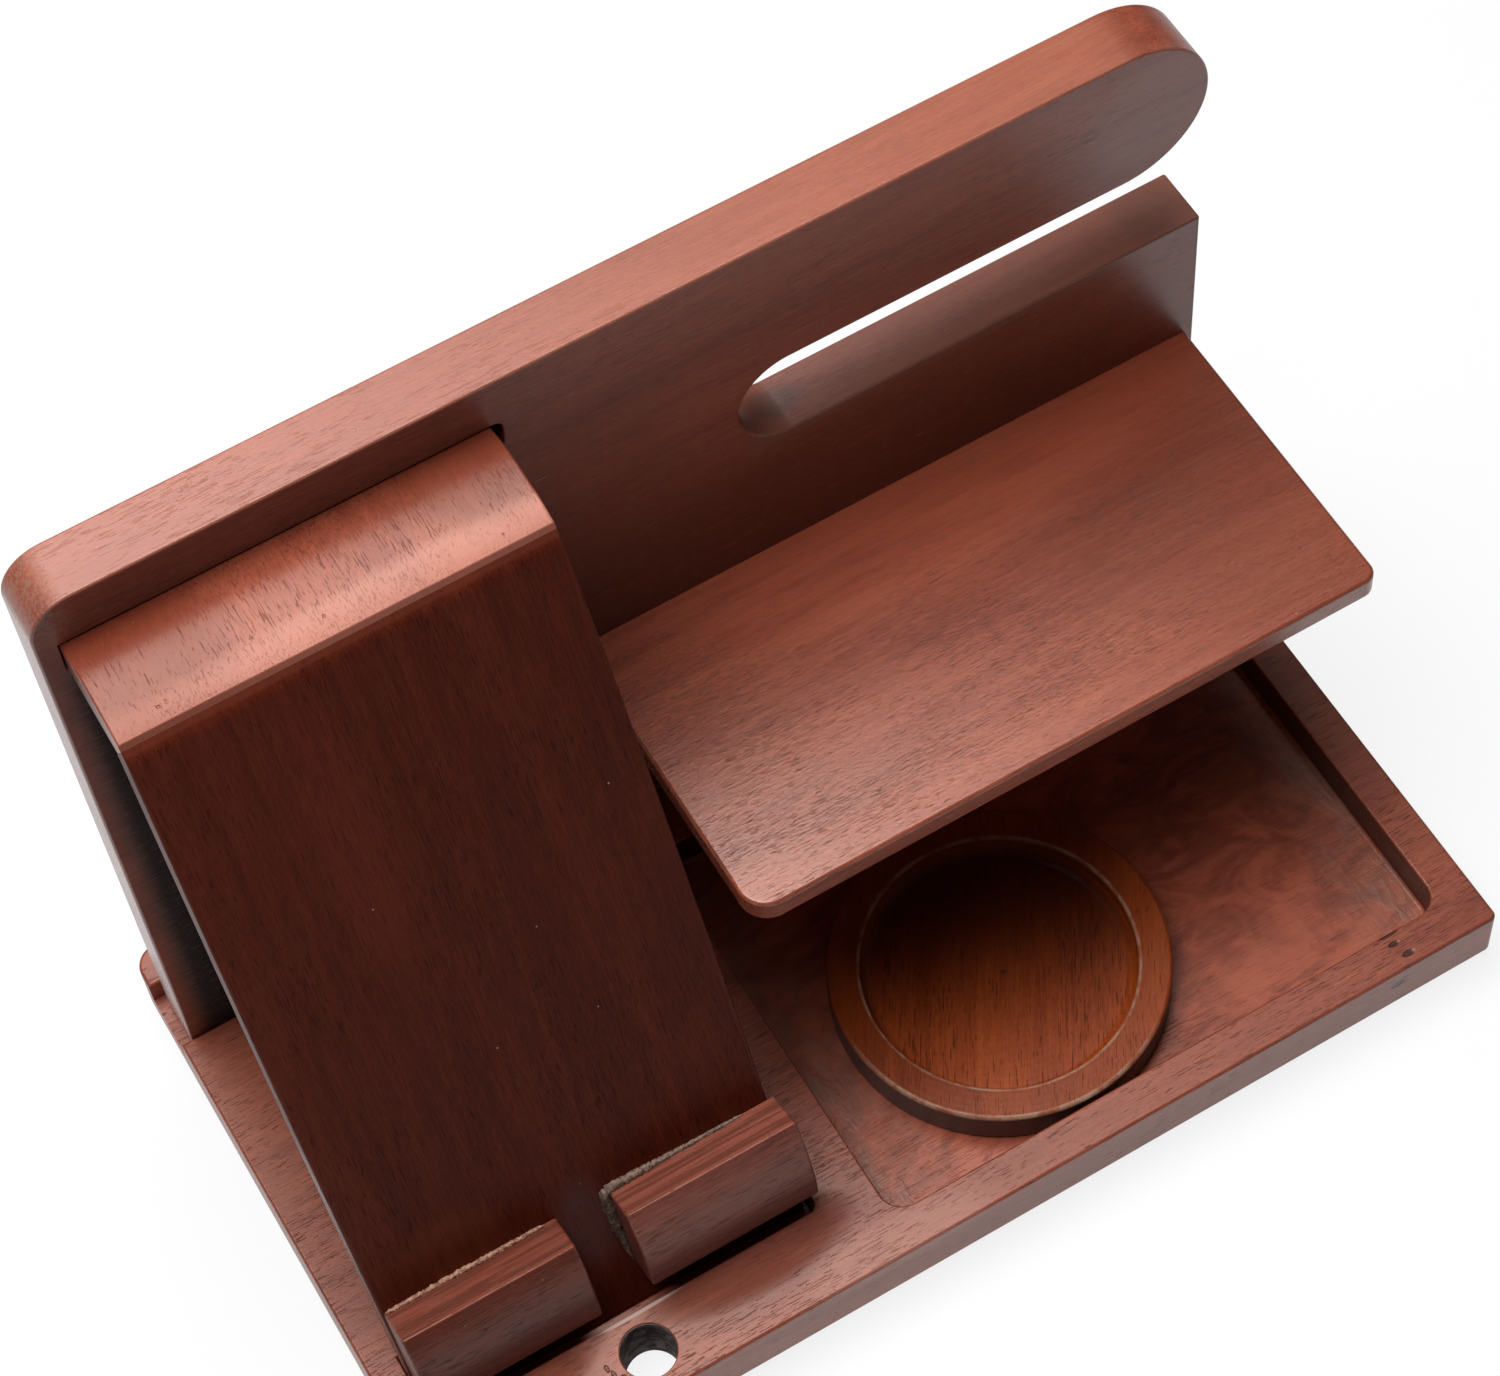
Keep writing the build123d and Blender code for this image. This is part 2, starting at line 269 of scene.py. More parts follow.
def level(loops, height, facing):
    """Flat face between outlines, at one height, facing up (1) or down (-1)."""
    flats = [loop[0] for loop in loops]
    polygons = [np.pad(flat, ((0, 0), (0, 1))).tolist() for flat in flats]
    index = np.array(tessellate_polygon([[Vector(p) for p in polygon] for polygon in polygons]))
    every = np.concatenate(flats)
    triangles = every[index]
    a, b = triangles[:, 1] - triangles[:, 0], triangles[:, 2] - triangles[:, 0]
    area = a[:, 0] * b[:, 1] - a[:, 1] * b[:, 0]
    triangles = np.where((area * facing < 0)[:, None, None], triangles[:, ::-1], triangles)
    triangles = triangles[np.abs(area) > 1e-9]
    place = np.concatenate([triangles, np.full(triangles.shape[:2] + (1,), height)], 2)
    return place, np.broadcast_to(np.array([0.0, 0.0, facing]), place.shape)


def turned(centre, profile, sides):
    """Turned piece: profile point i at angle j is centre + r * (cos, sin), z."""
    points, _, before, after = profile
    a = np.linspace(0, 2 * math.pi, sides + 1)
    cos, sin = np.cos(a)[None, :, None], np.sin(a)[None, :, None]

    def swing(pairs, middle=(0.0, 0.0)):
        r, z = pairs[:, None, :1], pairs[:, None, 1:]
        return np.concatenate([r * cos + middle[0], r * sin + middle[1], z + 0 * cos], 2)

    place = swing(points, centre)
    n_after, n_before = swing(after), swing(before)
    corners = [place[:-1, :-1], place[:-1, 1:], place[1:, 1:], place[1:, :-1]]
    slants = [n_after[:-1, :-1], n_after[:-1, 1:], n_before[1:, 1:], n_before[1:, :-1]]
    return np.stack(corners, 2).reshape(-1, 4, 3), np.stack(slants, 2).reshape(-1, 4, 3)


def both_ends(loop, low, high, ease):
    """Closed bar: an outline's wall between two eased ends."""
    return [rings(loop, wall(low, high, ease, ease)), level([drawn_in(loop, ease)], low, -1),
            level([drawn_in(loop, ease)], high, 1)]


def pierced(loop, low, high, ease, hole, rim):
    """Board but for its upper level: its wall, its lower level and a hole's wall."""
    return [rings(loop, wall(low, high, ease, ease)),
            level([drawn_in(loop, ease), drawn_in(hole, rim)], low, -1),
            rings(hole, wall(low, high, rim, rim))]


# --------------------------------------------------------------------- pieces
def make_piece(name, patches, axes=None, origin=(0, 0, 0), shift=None):
    """One mesh of all patches: shared corners are welded, normals are kept."""
    axes = np.eye(3) if axes is None else np.array(axes, float)
    corner_place, corner_normal, sizes = [], [], []
    for place, normal in patches:
        place = place @ axes + np.array(origin, float)
        corner_place.append(place.reshape(-1, 3))
        corner_normal.append((normal @ axes).reshape(-1, 3))
        sizes.append(np.full(len(place), place.shape[1]))
    place = np.concatenate(corner_place)
    normal = np.concatenate(corner_normal)
    sizes = np.concatenate(sizes)
    if shift is not None:
        place = place + shift(place)
    keys = np.round(place, 4)
    _, first, index = np.unique(keys, axis=0, return_index=True, return_inverse=True)
    index = index.ravel()
    face = np.repeat(np.arange(len(sizes)), sizes)
    start = np.concatenate([[0], np.cumsum(sizes)[:-1]])
    previous = np.arange(len(index)) - 1
    previous[start] = start + sizes - 1
    keep = index != index[previous]
    index, normal, face = index[keep], normal[keep], face[keep]
    counts = np.bincount(face, minlength=len(sizes))
    good = counts[face] > 2
    index, normal = index[good], normal[good]
    counts = counts[counts > 2]
    mesh = bpy.data.meshes.new(name)
    mesh.vertices.add(len(first))
    mesh.vertices.foreach_set("co", (place[first] * MM).astype(np.float32).ravel())
    mesh.loops.add(len(index))
    mesh.loops.foreach_set("vertex_index", index.astype(np.int32))
    mesh.polygons.add(len(counts))
    starts = np.concatenate([[0], np.cumsum(counts)[:-1]])
    mesh.polygons.foreach_set("loop_start", starts.astype(np.int32))
    mesh.polygons.foreach_set("use_smooth", np.ones(len(counts), bool))
    mesh.update(calc_edges=True)
    mesh.validate()
    mesh.normals_split_custom_set(normal.tolist())
    piece = bpy.data.objects.new(name, mesh)
    bpy.context.collection.objects.link(piece)
    return piece


def make_base():
    """Base: full outline up to the groove's floor, two raised parts above it."""
    front = (LEFT, FRONT, 1.6), (RIGHT, FRONT, 1.6)
    back = (RIGHT, BACK, 5.0), (LEFT, BACK, 5.0)
    near, far = GROOVE
    whole = outline([*front, (RIGHT, near), (RIGHT, far), *back, (LEFT, far), (LEFT, near)])
    fore = outline([*front, (RIGHT, near), (LEFT, near)])
    rear = outline([(LEFT, far), (RIGHT, far), *back])
    trench = outline([(LEFT, near), (RIGHT, near), (RIGHT, far), (LEFT, far)])
    x, y, r = *HOLE_CENTRE, HOLE_RADIUS
    tray = hollow(outline(box_corners(*TRAY, 5.0)))
    slot = hollow(outline(open_ended(*FOOT_SLOT, 2.0)))
    hole = hollow(outline(box_corners(x - r, x + r, y - r, y + r, r)))
    ease, rim, lip, under, cove = 0.7, 0.45, 0.3, 1.4, 0.9
    patches = [
        rings(whole, wall(PAD, FOOT, under, 0)),
        rings(fore, wall(FOOT, TOP, 0, ease)),
        rings(rear, wall(FOOT, TOP, 0, ease)),
        level([trench], FOOT, 1),
        level([drawn_in(whole, under), drawn_in(hole, lip)], PAD, -1),
        level([drawn_in(fore, ease), drawn_in(tray, rim), drawn_in(slot, lip),
               drawn_in(hole, lip)], TOP, 1),
        level([drawn_in(rear, ease)], TOP, 1),
        rings(tray, sunk_wall(TRAY_FLOOR, TOP, cove, rim)),
        level([drawn_in(tray, -cove)], TRAY_FLOOR, 1),
        rings(slot, sunk_wall(SLOT_FLOOR, TOP, lip, lip)),
        level([drawn_in(slot, -lip)], SLOT_FLOOR, 1),
        rings(hole, wall(PAD, TOP, lip, lip)),
    ]
    return make_piece("base_plate", patches)


def make_panel():
    """Upright panel: half-round arm over an open slot, two mortises.

    It is drawn lying on its back, so height is measured from its rear face.
    """
    arm_low = PANEL_TOP - ARM_HEIGHT
    gap_low = arm_low - GAP_HEIGHT
    edge = outline([
        (PANEL_LEFT, FOOT, 0.4), (PANEL_RIGHT, FOOT, 0.4), (PANEL_RIGHT, gap_low, 0.5),
        (GAP_END, gap_low, GAP_HEIGHT / 2), (GAP_END, arm_low, GAP_HEIGHT / 2),
        (PANEL_RIGHT, arm_low, ARM_HEIGHT / 2), (PANEL_RIGHT, PANEL_TOP, ARM_HEIGHT / 2),
        (PANEL_LEFT, PANEL_TOP, 9.0),
    ])
    cap_hole = hollow(outline(open_ended(*CAP_MORTISE, 2.0)))
    tenon_hole = hollow(outline(box_corners(*SHELF_MORTISE, 3.05)))
    thick, ease, rim, lip = PANEL_BACK - FACE, 0.55, 0.2, 0.3
    spare = 0.5
    floor = thick - TONGUE - spare
    patches = pierced(edge, 0, thick, ease, tenon_hole, rim)
    openings = [drawn_in(cap_hole, lip), drawn_in(tenon_hole, rim)]
    patches += [level([drawn_in(edge, ease), *openings], thick, 1),
                rings(cap_hole, sunk_wall(floor, thick, rim, lip)),
                level([drawn_in(cap_hole, -rim)], floor, 1)]
    return make_piece("panel_board", patches, UPRIGHT_AXES, (0, PANEL_BACK, 0))


def rest_front(z):
    """Y of the slope's front face at a height above the base's top."""
    return REST_FRONT + math.tan(LEAN) * z


def rest_rear(z):
    """Y of the slope's rear face at a height above the base's top."""
    return rest_front(z) + REST_THICK / math.cos(LEAN)


def ridge():
    """Inner corner, bevel's low and high end, and mitre point, each (Y, Z)."""
    corner = np.array((rest_front(CAP_HEIGHT), TOP + CAP_HEIGHT))
    under = CAP_HEIGHT - CAP_THICK
    inner = np.array((rest_rear(under), TOP + under))
    low = corner - BEVEL[0] * np.array((math.sin(LEAN), math.cos(LEAN)))
    high = corner + np.array((BEVEL[1], 0.0))
    a, b = high - low, corner - inner
    share = ((inner[0] - low[0]) * b[1] - (inner[1] - low[1]) * b[0]) / (a[0] * b[1] - a[1] * b[0])
    return inner, low, high, low + share * a


def bow(place):
    """Moves the board's sides outwards by BOW times 1 less share squared.

    share runs from -1 at the board's foot, over 0 at mid height, to 1 at its top.
    """
    middle = (REST[0] + REST[1]) / 2
    share = 2 * place[:, 2] / (TOP + CAP_HEIGHT) - 1
    shift = np.zeros_like(place)
    shift[:, 0] = BOW * np.clip(1 - share ** 2, 0, 1) * np.sign(place[:, 0] - middle)
    return shift


def make_slope():
    """Sloping board: level foot, soft bend under the ridge, mitre to the cap."""
    inner, low, high, mitre = ridge()
    steps = np.linspace(0, 1, 14)[1:-1]
    sunk = 7.5
    foot = np.array((rest_front(-sunk), TOP - sunk))
    heel = np.array((rest_rear(-sunk), TOP - sunk))
    rise = [tuple(heel + (inner - heel) * s) for s in steps]
    fall = [tuple(low + (foot - low) * s) for s in steps]
    loop = outline([(*foot, 0.3), (*heel, 0.3), *rise, (*inner, 0.0, 0.0), tuple(mitre),
                    (*low, 7.0), *fall])
    return make_piece("slope_board", both_ends(loop, *REST, 0.6), SIDE_AXES, shift=bow)


def make_cap():
    """Crowned cap: crisp ridge edge, low crown, tongue into the panel."""
    inner, low, high, mitre = ridge()
    deep = FACE + TONGUE
    loop = outline([(*mitre, 0.0, 0.0), tuple(inner), (deep, inner[1], 0.3),
                    (deep, high[1], 0.3), (FACE, high[1]), bulge((FACE, high[1]), high, 1.9),
                    (*high, 0.35)])
    return make_piece("ridge_cap", both_ends(loop, *REST, 0.5), SIDE_AXES)


def lip_point(along, out):
    """(Y, Z) of a point up the slope by `along` and off it by `out`."""
    return (REST_FRONT + along * math.sin(LEAN) - out * math.cos(LEAN),
            TOP + along * math.cos(LEAN) + out * math.sin(LEAN))


def make_lip(name, left):
    """Lip: flat ledge, crisp ridge line and a crowned nose, glued to the slope."""
    heel, root = lip_point(LIP_LOW, 0), lip_point(LIP_HIGH, 0)
    brow, chin = lip_point(LIP_HIGH, 9.3), lip_point(LIP_LOW, 8.3)
    loop = outline([(*heel, 0.0, 0.0), root, (*brow, 0.4), bulge(brow, chin, 1.4), (*chin, 0.6)])
    return make_piece(name, both_ends(loop, left, left + LIP_LENGTH, 0.7), SIDE_AXES)


def make_bead(name, path, wide, tall, seed):
    """Crumbly line of dried glue: a flat tube along a path on the slope.

    The path is straight runs of (X, up the slope, off the slope). Its section
    at share s is an ellipse of half-width wide(s) and half-height tall(s),
    both times 1 plus smooth noise, and it closes to a point at each end.
    """
    path = np.array(path, float)
    reach = np.concatenate([[0], np.cumsum(np.linalg.norm(np.diff(path, axis=0), axis=1))])
    s = np.linspace(0, 1, int(reach[-1] * 7))
    centre = np.stack([np.interp(s * reach[-1], reach, path[:, k]) for k in range(3)], 1)
    ahead = np.gradient(centre, axis=0)
    ahead /= np.linalg.norm(ahead, axis=1)[:, None]
    across = np.stack([-ahead[:, 1], ahead[:, 0], 0 * s], 1)
    a = np.linspace(0, 2 * math.pi, 15)[:-1]
    rough = np.random.default_rng(seed).normal(0, 1, (len(s), len(a)))
    soft = (rough + np.roll(rough, 1, 0) + np.roll(rough, 2, 0) + np.roll(rough, 1, 1)) / 4
    size = (1 + 0.42 * soft) * np.sqrt(np.clip(1 - (2 * s - 1) ** 20, 0, 1))[:, None]
    w = np.interp(s, np.linspace(0, 1, len(wide)), wide)[:, None] * size * np.cos(a)
    h = np.interp(s, np.linspace(0, 1, len(tall)), tall)[:, None] * size * np.sin(a)
    spots = centre[:, None] + across[:, None] * w[..., None]
    spots[..., 2] += h
    spots[0], spots[-1] = centre[0], centre[-1]
    y, z = lip_point(spots[..., 1], spots[..., 2])
    place = np.stack([spots[..., 0], y, z], 2)
    around = np.roll(place, -1, 1)
    quads = np.stack([place[:-1], around[:-1], around[1:], place[1:]], 2).reshape(-1, 4, 3)
    middle = np.stack([centre[:-1, 0], *lip_point(centre[:-1, 1], centre[:-1, 2])], 1)
    inner = np.repeat(middle, len(a), 0)
    facing = np.cross(quads[:, 2] - quads[:, 0], quads[:, 3] - quads[:, 1])
    if np.sum(facing * (quads.mean(1) - inner)) < 0:
        quads = quads[:, ::-1]
    slant = quads - inner[:, None]
    slant /= np.maximum(np.linalg.norm(slant, axis=2, keepdims=True), 1e-9)
    return make_piece(name, [(quads, slant)])


def make_shelf():
    """Shelf: rounded front corners, soft edges, square back, round-ended tenon."""
    x0, x1 = SHELF
    bottom, shoulder = SHELF_TOP - SHELF_THICK, 12.0
    board = outline([(x0, SHELF_FRONT, 6.0), (x1, SHELF_FRONT, 3.0), (x1, FACE, 0.0, 0.0),
                     (x0, FACE)])
    patches = both_ends(board, bottom, SHELF_TOP, 0.85)
    tenon = outline(box_corners(x0 + shoulder, x1 - shoulder, bottom, SHELF_TOP, 2.95))
    axes = np.array(UPRIGHT_AXES, float)
    patches += [(place @ axes + (0, PANEL_BACK, 0), normal @ axes)
                for place, normal in both_ends(tenon, 0.0, PANEL_BACK - FACE, 0.3)]
    return make_piece("shelf_board", patches)


def make_dish():
    """Turned dish: eased rim, coved recess and chamfered foot."""
    radius, recess, height, floor = 34.9, 28.1, 8.8, 3.8
    profile = outline([(0.0, 0.0), (radius, 0.0, 0.9), (radius, height, 0.8),
                       (recess, height, 0.45), (recess, floor, 2.5), (0.0, floor)])
    skin = turned(DISH_CENTRE, profile, sides=160)
    return make_piece("turned_dish", [skin], origin=(0, 0, TRAY_FLOOR))


def make_pads():
    """Four round pads with soft edges, each a turned profile."""
    profile = outline([(0.0, 0.0), (PAD_RADIUS, 0.0, 0.5), (PAD_RADIUS, PAD, 0.2), (0.0, PAD)])
    x, y = PAD_PLACE
    corners = (-x, -y), (-x, y), (x, -y), (x, y)
    return make_piece("round_pads", [turned(c, profile, sides=48) for c in corners])


# ------------------------------------------------------------------- finishes
def add(tree, kind, inputs=(), **settings):
    """A shader node with its settings, and its inputs' values or links."""
    made = tree.nodes.new("ShaderNode" + kind)
    for key, value in settings.items():
        setattr(made, key, value)
    for key, value in dict(inputs).items():
        if isinstance(value, bpy.types.NodeSocket):
            tree.links.new(value, made.inputs[key])
        else:
            made.inputs[key].default_value = value
    return made


def sums(tree, operation, a, b, c=None):
    """One step of arithmetic on two or three values."""
    inputs = {0: a, 1: b} if c is None else {0: a, 1: b, 2: c}
    return add(tree, "Math", inputs, operation=operation).outputs[0]


def times(tree, a, b):
    """Product of two values, or of two masks."""
    return sums(tree, "MULTIPLY", a, b)


def vectors(tree, operation, a, b):
    """One step of arithmetic on two vectors, which gives a vector."""
    return add(tree, "VectorMath", {0: a, 1: b}, operation=operation).outputs[0]


def length(tree, vector):
    """Length of a vector."""
    return add(tree, "VectorMath", {0: vector}, operation="LENGTH").outputs["Value"]


def reach_along(tree, vector, direction):
    """How far a vector reaches along a direction of length 1."""
    inputs = {0: vector, 1: direction}
    return add(tree, "VectorMath", inputs, operation="DOT_PRODUCT").outputs["Value"]


def split(tree, place):
    """X, Y and Z of a place."""
    return add(tree, "SeparateXYZ", {0: place}).outputs


def span(tree, value, low, high, to_low=0.0, to_high=1.0):
    """Value stretched from low..high to a new range, and held inside it."""
    inputs = {"Value": value, "From Min": low, "From Max": high,
              "To Min": to_low, "To Max": to_high}
    return add(tree, "MapRange", inputs, interpolation_type="SMOOTHSTEP").outputs["Result"]


def fade(tree, value, low, high):
    """1 where a value lies below low, falling to 0 at high."""
    return span(tree, value, low, high, 1.0, 0.0)


def band(tree, value, low, high, soft):
    """1 where a value lies between low and high, fading out over soft."""
    rise = span(tree, value, low - soft, low)
    return times(tree, rise, fade(tree, value, high, high + soft))


def grain_noise(tree, place, stretch, seed, detail=3.0, rough=0.55, swirl=0.0):
    """Noise drawn out along the grain: place times stretch, moved by a seed."""
    drawn = add(tree, "VectorMath", {0: place, 1: stretch, 2: (seed, seed * 1.7, seed * 0.6)},
                operation="MULTIPLY_ADD").outputs[0]
    inputs = {"Vector": drawn, "Scale": 1.0, "Detail": detail, "Roughness": rough,
              "Distortion": swirl}
    return add(tree, "TexNoise", inputs).outputs["Fac"]


def blend_colours(tree, share, a, b):
    """Colour a where share is 0, colour b where it is 1."""
    made = add(tree, "Mix", {"Factor": share}, data_type="RGBA")
    for key, value in ((6, a), (7, b)):
        if isinstance(value, bpy.types.NodeSocket):
            tree.links.new(value, made.inputs[key])
        else:
            made.inputs[key].default_value = (*value, 1.0)
    return made.outputs[2]


def tinted(tree, shade, mask, strength, tint):
    """The colour taken towards a tint by strength where the mask is 1."""
    return blend_colours(tree, times(tree, mask, strength), shade, tint)


def spot(tree, place, centre, reach, edge=0.5):
    """1 inside an ellipsoid at centre (mm) with half-axes reach (mm), 0 outside."""
    moved = vectors(tree, "SUBTRACT", place, tuple(c * MM for c in centre))
    scaled = vectors(tree, "DIVIDE", moved, tuple(r * MM for r in reach))
    return fade(tree, length(tree, scaled), edge, 1.0)


def new_material(name):
    """A new node material: itself, its nodes, its shader and the place on the object."""
    material = bpy.data.materials.new(name)
    material.use_nodes = True
    tree = material.node_tree
    return material, tree, tree.nodes["Principled BSDF"], add(tree, "TexCoord").outputs["Object"]


def stained_wood(name, colour, grain=(0.0, 0.0, 0.0), seed=0.0, shine=0.34, gloss=0.5,
                 figure=1.0, streaks=1.0, pores=1.0, dashes=(240, 3500), marks=(), dust=0.5,
                 tint=(1.0, 0.82, 0.74), extra=None):
    """Stained open-pored wood under satin varnish.

    Noise drawn out along the grain gives broad figure, streaks, fibres, fine
    specks and short dark pores. Dots of dust and single marks lie on top, and
    extra adds what belongs to one piece; some marks and extras are painted
    shade and painted highlights. colour is the stain's, shine the
    varnish's roughness, gloss and tint its shine, and figure, streaks, pores
    and dust are the strengths of each pattern. A mark is its centre and
    half-axes in millimetres, its colour, its strength, and how deep it is sunk.
    """
    material, tree, shader, place = new_material(name)
    turn = add(tree, "Mapping", {"Vector": place, "Rotation": grain},
               vector_type="POINT").outputs[0]
    broad = grain_noise(tree, turn, (7, 62, 62), seed, 4.0, 0.55, 0.4)
    streak = grain_noise(tree, turn, (38, 430, 430), seed + 3, 5.0, 0.62)
    fibre = grain_noise(tree, turn, (85, 2500, 2500), seed + 7, 4.0, 0.7)
    dash = grain_noise(tree, turn, (dashes[0], dashes[1], dashes[1]), seed + 11, 2.0, 0.5)
    patch = grain_noise(tree, turn, (30, 90, 90), seed + 19, 2.0)
    speckle = grain_noise(tree, turn, (700, 1900, 1900), seed + 31, 3.0, 0.75)
    tone = 0.5
    for noise, weight in ((broad, 0.95 * figure), (streak, 0.62 * streaks), (fibre, 0.95 * streaks),
                          (speckle, 0.55)):
        tone = sums(tree, "MULTIPLY_ADD", sums(tree, "SUBTRACT", noise, 0.5), weight, tone)
    r, g, b = colour
    ramp = add(tree, "ValToRGB", {"Fac": tone})
    stops = ((0.0, (r * 0.50, g * 0.42, b * 0.45)), (0.38, (r * 0.84, g * 0.80, b * 0.82)),
             (0.62, (r * 1.12, g * 1.16, b * 1.12)), (1.0, (r * 1.5, g * 1.75, b * 1.6)))
    ramp.color_ramp.elements[1].position = 1.0
    for _ in stops[1:-1]:
        ramp.color_ramp.elements.new(0.5)
    for element, (position, shade) in zip(ramp.color_ramp.elements, stops):
        element.position = position
        element.color = (*shade, 1.0)
    shade = ramp.outputs["Color"]
    crowd = span(tree, patch, 0.34, 0.66, 0.085, 0.0)
    pore = span(tree, sums(tree, "SUBTRACT", dash, crowd), 0.57, 0.625)
    shade = tinted(tree, shade, pore, 0.72 * pores, (r * 0.22, g * 0.2, b * 0.24))
    rough = sums(tree, "MULTIPLY_ADD", sums(tree, "SUBTRACT", streak, 0.5), 0.10, shine)
    rough = sums(tree, "MULTIPLY_ADD", pore, 0.12, rough)
    height = sums(tree, "MULTIPLY_ADD", fibre, 0.30, times(tree, pore, -0.8 * pores))
    height = sums(tree, "MULTIPLY_ADD", speckle, 0.5, height)
    cells = add(tree, "TexVoronoi", {"Vector": place, "Scale": 190.0, "Randomness": 1.0})
    draw = add(tree, "SeparateColor", {0: cells.outputs["Color"]}).outputs[0]
    rare = span(tree, draw, 0.80, 0.82)
    dot = times(tree, fade(tree, cells.outputs["Distance"], 0.025, 0.05), rare)
    shade = tinted(tree, shade, dot, dust, (0.42, 0.30, 0.24))
    height = sums(tree, "MULTIPLY_ADD", dot, 1.2, height)
    for centre, reach, mark, strength, sink in marks:
        mask = spot(tree, place, centre, reach)
        ragged = times(tree, mask, span(tree, streak, 0.30, 0.50, 0.55, 1.0))
        shade = tinted(tree, shade, ragged, strength, mark)
        if sink:
            height = sums(tree, "MULTIPLY_ADD", ragged, -sink, height)
    if extra is not None:
        shade, rough, height = extra(tree, place, turn, shade, rough, height)
    bump = add(tree, "Bump", {"Height": height, "Strength": 0.5, "Distance": 0.00012})
    tree.links.new(shade, shader.inputs["Base Color"])
    tree.links.new(rough, shader.inputs["Roughness"])
    tree.links.new(bump.outputs[0], shader.inputs["Normal"])
    shader.inputs["Specular IOR Level"].default_value = gloss
    shader.inputs["Specular Tint"].default_value = (*tint, 1.0)
    return material


def in_tray(tree, x, y):
    """1 over the tray's area and its walls, seen from above."""
    return times(tree, band(tree, x, -0.0175, 0.1140, 0.0005),
                 band(tree, y, -0.0640, 0.0360, 0.0005))


# Each function below takes one piece's colour, roughness and height and returns
# them with its own details, some of them painted shade and painted highlights.
# Its bounds are places on the object, in metres.
def base_details_and_painted_shade(tree, place, turn, shade, rough, height):
    """Milled tray with painted shade on its walls, mottled grey wall of the cable hole, dull top
    under the lips.
    """
    shade, rough, height = tray_finish(tree, place, turn, shade, rough, height)
    hole = spot(tree, place, (*HOLE_CENTRE, 8.0), (6.3, 6.3, 30.0), 0.90)
    x, y, z = split(tree, place)
    deep = times(tree, hole, fade(tree, z, 0.0150, 0.0157))
    # mottled grey wall of the cable hole
    hole_mottle = grain_noise(tree, place, (420, 420, 420), 47.0, 4.0, 0.65)
    hole_grey = blend_colours(tree, span(tree, hole_mottle, 0.40, 0.60), (0.05, 0.042, 0.040),
                          (0.25, 0.21, 0.20))
    shade = blend_colours(tree, deep, shade, hole_grey)
    rough = sums(tree, "MAXIMUM", rough, times(tree, deep, 0.95))
    dull = sums(tree, "MAXIMUM", spot(tree, place, (-45.0, -54.0, 16.0), (34.0, 12.0, 5.0), 0.35),
                spot(tree, place, (-96.0, -54.0, 16.0), (24.0, 10.0, 5.0), 0.35))
    rough = sums(tree, "MAXIMUM", rough, times(tree, dull, 0.85))
    # painted shade: the tray's inner walls are darkened almost to black
    inside = band(tree, z, 0.0072, 0.0153, 0.0004)
    walls = times(tree, inside, in_tray(tree, x, y))
    shade = tinted(tree, shade, walls, 0.85, (0.035, 0.009, 0.005))
    return shade, rough, height


def panel_details_and_painted_light(tree, place, turn, shade, rough, height):
    """Painted shade behind the rest, painted pore glints, grey end grain, painted highlight and
    shade on top.
    """
    x, y, z = split(tree, place)
    face = fade(tree, y, 0.0461, 0.0464)
    below_cap = fade(tree, z, 0.150, 0.163)
    # painted shade on the face between the rest and the panel's left edge, below the cap
    painted_rest_shade = times(tree, span(tree, x, -0.1165, -0.1065), fade(tree, x, -0.032, -0.028))
    painted_rest_shade = times(tree, face, times(tree, painted_rest_shade, below_cap))
    shade = tinted(tree, shade, painted_rest_shade, 0.93, (0.008, 0.003, 0.003))
    rough = sums(tree, "MULTIPLY_ADD", painted_rest_shade, 0.3, rough)
    painted_edge_shade = times(tree, span(tree, x, -0.1172, -0.1115), fade(tree, x, -0.098, -0.085))
    painted_edge_shade = times(tree, times(tree, face, painted_edge_shade), below_cap)
    shade = tinted(tree, shade, painted_edge_shade, 0.90, (0.006, 0.003, 0.003))
    rough = sums(tree, "MULTIPLY_ADD", painted_edge_shade, 0.4, rough)
    # painted glints: pale lines where pore edges catch the light
    edges = span(tree, grain_noise(tree, turn, (260, 5200, 5200), 83.0, 2.0, 0.5), 0.60, 0.66)
    shade = tinted(tree, shade, times(tree, edges, face), 0.34, (0.36, 0.19, 0.15))
    speck = grain_noise(tree, place, (1500, 1500, 1500), 51.0, 3.0, 0.7)
    corner = times(tree, fade(tree, x, -0.1125, -0.1080), span(tree, z, 0.166, 0.172))
    shade = tinted(tree, shade, times(tree, corner, span(tree, speck, 0.40, 0.62)), 0.65,
                   (0.22, 0.13, 0.095))
    # painted highlight on the top, and painted shade on the top at the arm's end
    crown = span(tree, z, 0.1768, 0.1776)
    top = times(tree, crown, fade(tree, x, 0.095, 0.112))
    shade = tinted(tree, shade, top, 0.4, (0.34, 0.118, 0.068))
    painted_tip_shade = times(tree, crown, span(tree, x, 0.095, 0.112))
    shade = tinted(tree, shade, painted_tip_shade, 0.35, (0.09, 0.028, 0.016))
    # painted reflection: the left side is tinted pale; its varnish is also smoother
    left = fade(tree, x, -0.1176, -0.1171)
    rough = times(tree, rough, span(tree, left, 0.0, 1.0, 1.0, 0.7))
    shade = tinted(tree, shade, left, 0.14, (0.55, 0.45, 0.42))
    # painted shade on the floor of the gap under the arm
    floor = times(tree, span(tree, x, 0.017, 0.021), band(tree, z, 0.118, 0.1215, 0.0015))
    shade = tinted(tree, shade, floor, 0.55, (0.16, 0.075, 0.055))
    return shade, rough, height


